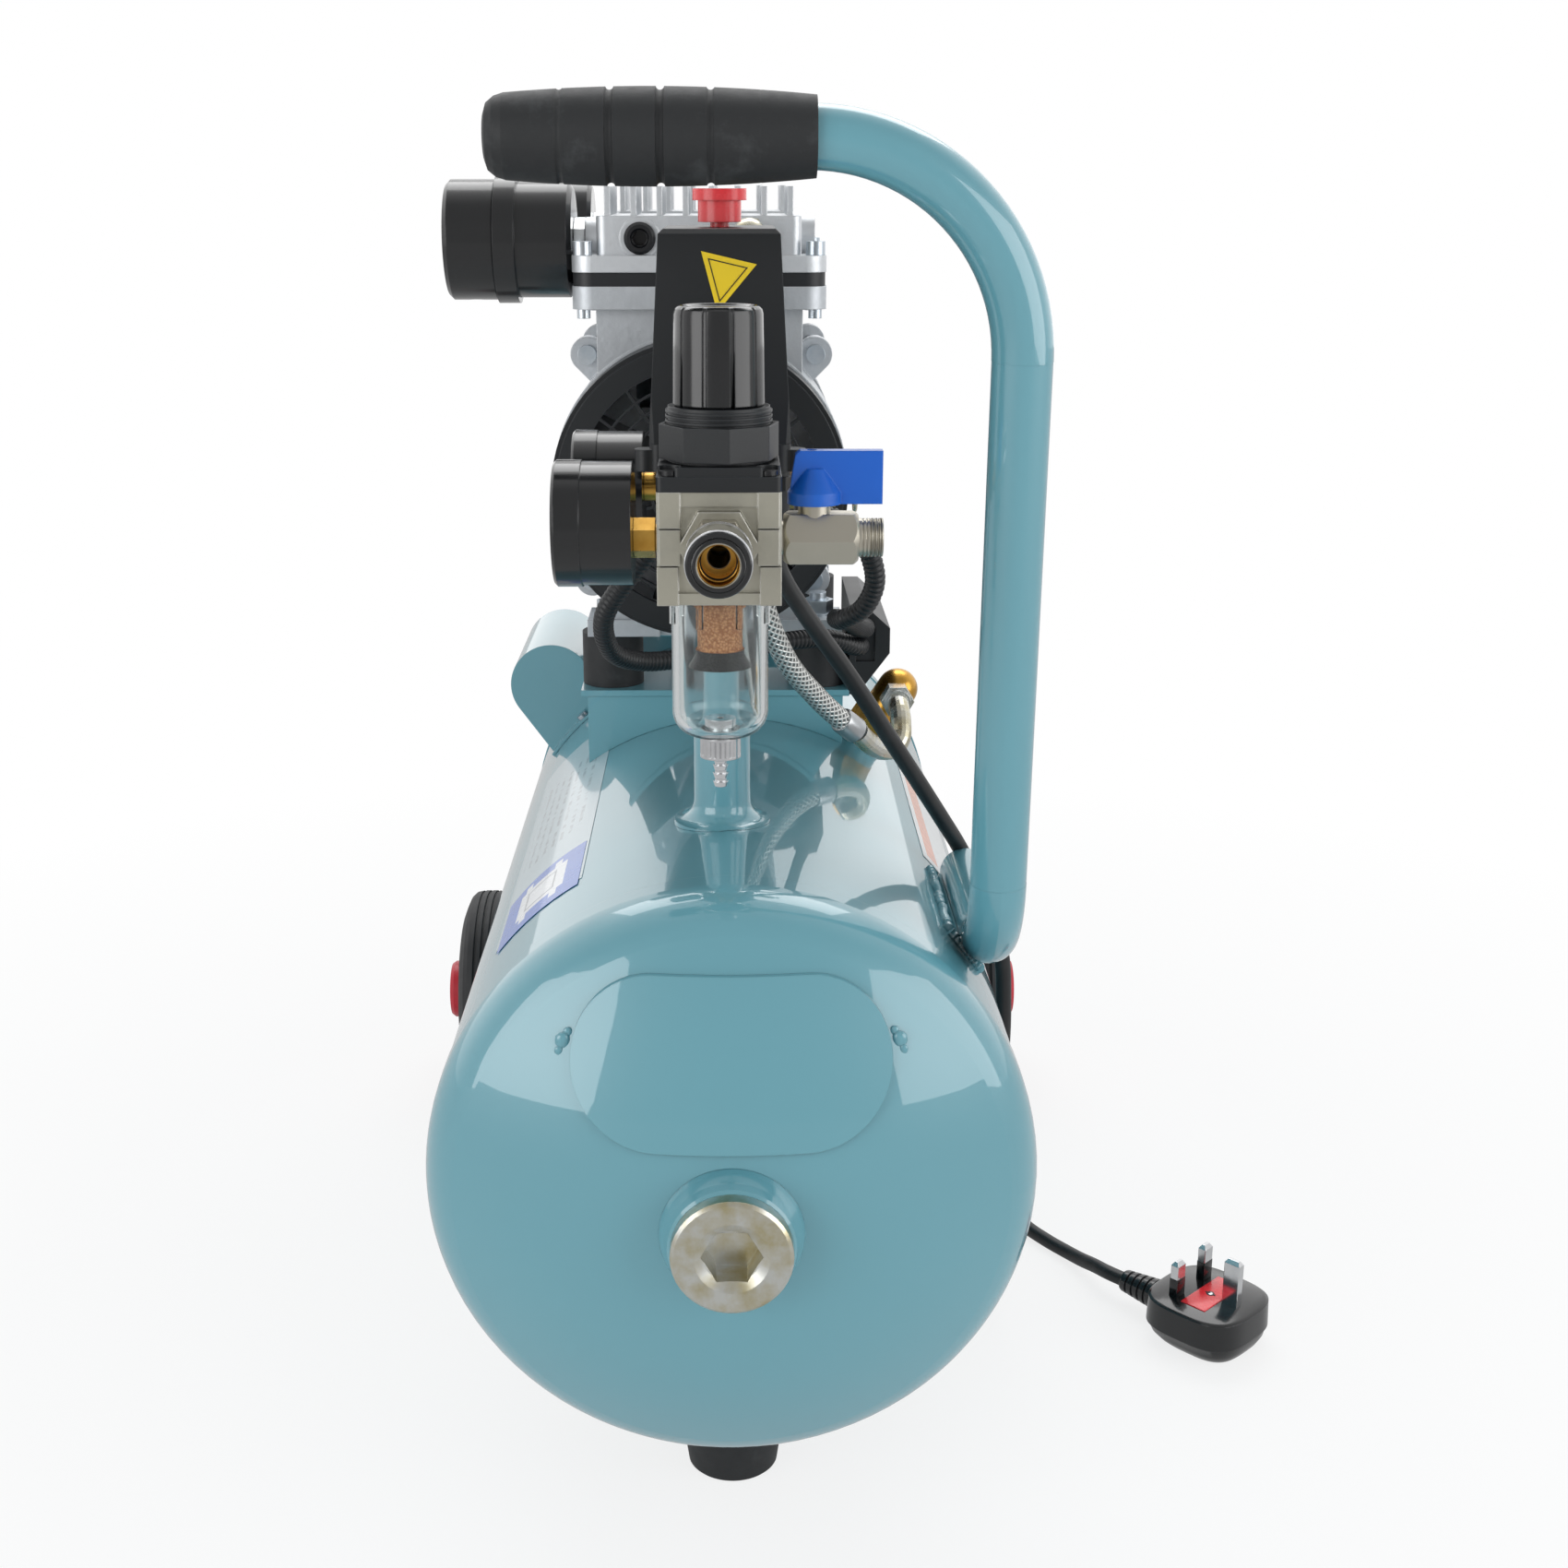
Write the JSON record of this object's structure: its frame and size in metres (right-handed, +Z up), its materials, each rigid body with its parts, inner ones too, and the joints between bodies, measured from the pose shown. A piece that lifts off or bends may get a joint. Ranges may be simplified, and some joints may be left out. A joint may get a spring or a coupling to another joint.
{
  "type": "air compressor",
  "caption": "Portable oil-free air compressor: horizontal tank on a foot and two wheels, carrying handle, twin-cylinder motor pump, pressure switch, gauges, filter regulator and outlet valve.",
  "frame": {"origin": "on the floor, below the middle of the object without its power cord", "axes": "+X to the right seen from the regulator end, +Y along the tank from the regulator end to the wheel end, +Z up"},
  "size_m": [0.4139, 0.601, 0.546],
  "materials": {
    "teal_paint": "gloss",
    "black_rubber": "matt",
    "black_plastic": "satin",
    "gloss_black": "gloss",
    "tyre": "matt",
    "red_plastic": "gloss",
    "hub_red": "satin",
    "zinc": "zinc plated",
    "cast_aluminium": "as cast",
    "machined_aluminium": "machined",
    "steel": "ground",
    "motor_steel": "satin",
    "copper_core": "enamelled wire",
    "brass": "bright",
    "nickel": "satin nickel",
    "cast_zinc": "sand textured",
    "blue_plastic": "gloss",
    "clear_plastic": "clear",
    "dial_white": "printed",
    "sintered": "sintered grains",
    "braid": "woven",
    "capacitor_case": "satin"
  },
  "bodies": {
    "root": {"tank_shell": "teal_paint", "tank_heads": "teal_paint", "tank_fittings": "teal_paint", "socket_plugs": "zinc", "front_foot": "black_rubber", "handle_tube": "teal_paint", "handle_grip": "black_rubber", "saddles": "teal_paint", "rubber_mounts": "black_rubber", "fasteners": "zinc", "capacitor_cover": "teal_paint", "capacitor": "capacitor_case", "motor_shell": "motor_steel", "stator": "copper_core", "crankcases": "cast_aluminium", "cylinders_and_pistons": "machined_aluminium", "valve_plates": "black_plastic", "cylinder_heads": "cast_aluminium", "fan_covers": "black_plastic", "intake_filters": "gloss_black", "post_tube": "teal_paint", "manifold": "brass", "switch_base": "black_plastic", "switch_cover": "black_plastic", "terminal_box": "black_plastic", "gauge_cases": "gloss_black", "gauge_dials": "dial_white", "gauge_lenses": "clear_plastic", "regulator_body": "cast_zinc", "regulator_bonnet": "black_plastic", "filter_bowl": "clear_plastic", "filter_element": "sintered", "coupler_body": "nickel", "ball_valve_body": "nickel", "check_valve": "brass", "hose_fittings": "zinc", "braided_hose": "braid", "conduits": "black_plastic", "cord_upper": "black_rubber", "cord_coil": "black_rubber", "cord_lower": "black_rubber", "plug_body": "gloss_black", "plug_pins": "nickel"},
    "wheel_left": {"tyre_left": "tyre", "hub_left": "hub_red"},
    "wheel_right": {"tyre_right": "tyre", "hub_right": "hub_red"},
    "crank": {"rotor_shaft": "steel", "fans": "motor_steel"},
    "regulator_spindle": {"regulator_screw": "zinc"},
    "regulator_cap": {"regulator_knob": "gloss_black"},
    "outlet_valve": {"valve_lever": "blue_plastic", "valve_ball": "nickel"},
    "switch_button": {"switch_knob": "red_plastic"},
    "coupler_ring": {"coupler_sleeve": "nickel"},
    "bowl_drain_knob": {"bowl_drain": "nickel"},
    "gauge_needle_front": {"needle_front": "red_plastic"},
    "gauge_needle_rear": {"needle_rear": "red_plastic"},
    "safety_pin": {"safety_pull": "zinc"},
    "tank_drain": {"drain_screw": "brass"}
  },
  "joints": [
    {"name": "wheel_left_spin", "type": "hinge", "parent": "root", "child": "wheel_left", "pos_m": [-0.146, 0.187, 0.058], "axis": [1, 0, 0], "continuous": true},
    {"name": "wheel_right_spin", "type": "hinge", "parent": "root", "child": "wheel_right", "pos_m": [0.146, 0.187, 0.058], "axis": [1, 0, 0], "continuous": true},
    {"name": "crank_spin", "type": "hinge", "parent": "root", "child": "crank", "pos_m": [-0.0135, 0.092, 0.384], "axis": [0, 1, 0], "continuous": true},
    {"name": "regulator_turn", "type": "hinge", "parent": "root", "child": "regulator_spindle", "pos_m": [-0.0035, -0.242, 0.45], "axis": [0, 0, 1], "range_deg": [-720, 720]},
    {"name": "regulator_lift", "type": "slide", "parent": "regulator_spindle", "child": "regulator_cap", "axis": [0, 0, 1], "range_m": [0, 0.004]},
    {"name": "outlet_turn", "type": "hinge", "parent": "root", "child": "outlet_valve", "pos_m": [0.02885, -0.242, 0.3995], "axis": [0, 0, 1], "range_deg": [-90, 0]},
    {"name": "switch_pull", "type": "slide", "parent": "root", "child": "switch_button", "axis": [0, 0, 1], "range_m": [0, 0.006]},
    {"name": "coupler_slide", "type": "slide", "parent": "root", "child": "coupler_ring", "axis": [0, 1, 0], "range_m": [0, 0.004], "stiffness_N_per_m": 1500, "springref_m": -0.004},
    {"name": "bowl_drain_turn", "type": "hinge", "parent": "root", "child": "bowl_drain_knob", "pos_m": [-0.0035, -0.242, 0.322], "axis": [0, 0, 1], "range_deg": [0, 120]},
    {"name": "needle_front_swing", "type": "hinge", "parent": "root", "child": "gauge_needle_front", "pos_m": [-0.052, -0.242, 0.4045], "axis": [1, 0, 0], "range_deg": [0, 270]},
    {"name": "needle_rear_swing", "type": "hinge", "parent": "root", "child": "gauge_needle_rear", "pos_m": [-0.052, -0.152, 0.404], "axis": [1, 0, 0], "range_deg": [0, 270]},
    {"name": "safety_lift", "type": "slide", "parent": "root", "child": "safety_pin", "axis": [1, 0, 0], "range_m": [0, 0.003], "stiffness_N_per_m": 800, "springref_m": -0.004},
    {"name": "tank_drain_turn", "type": "hinge", "parent": "root", "child": "tank_drain", "pos_m": [0, 0.122, 0.026], "axis": [0, 0, 1], "range_deg": [0, 360]}
  ]
}
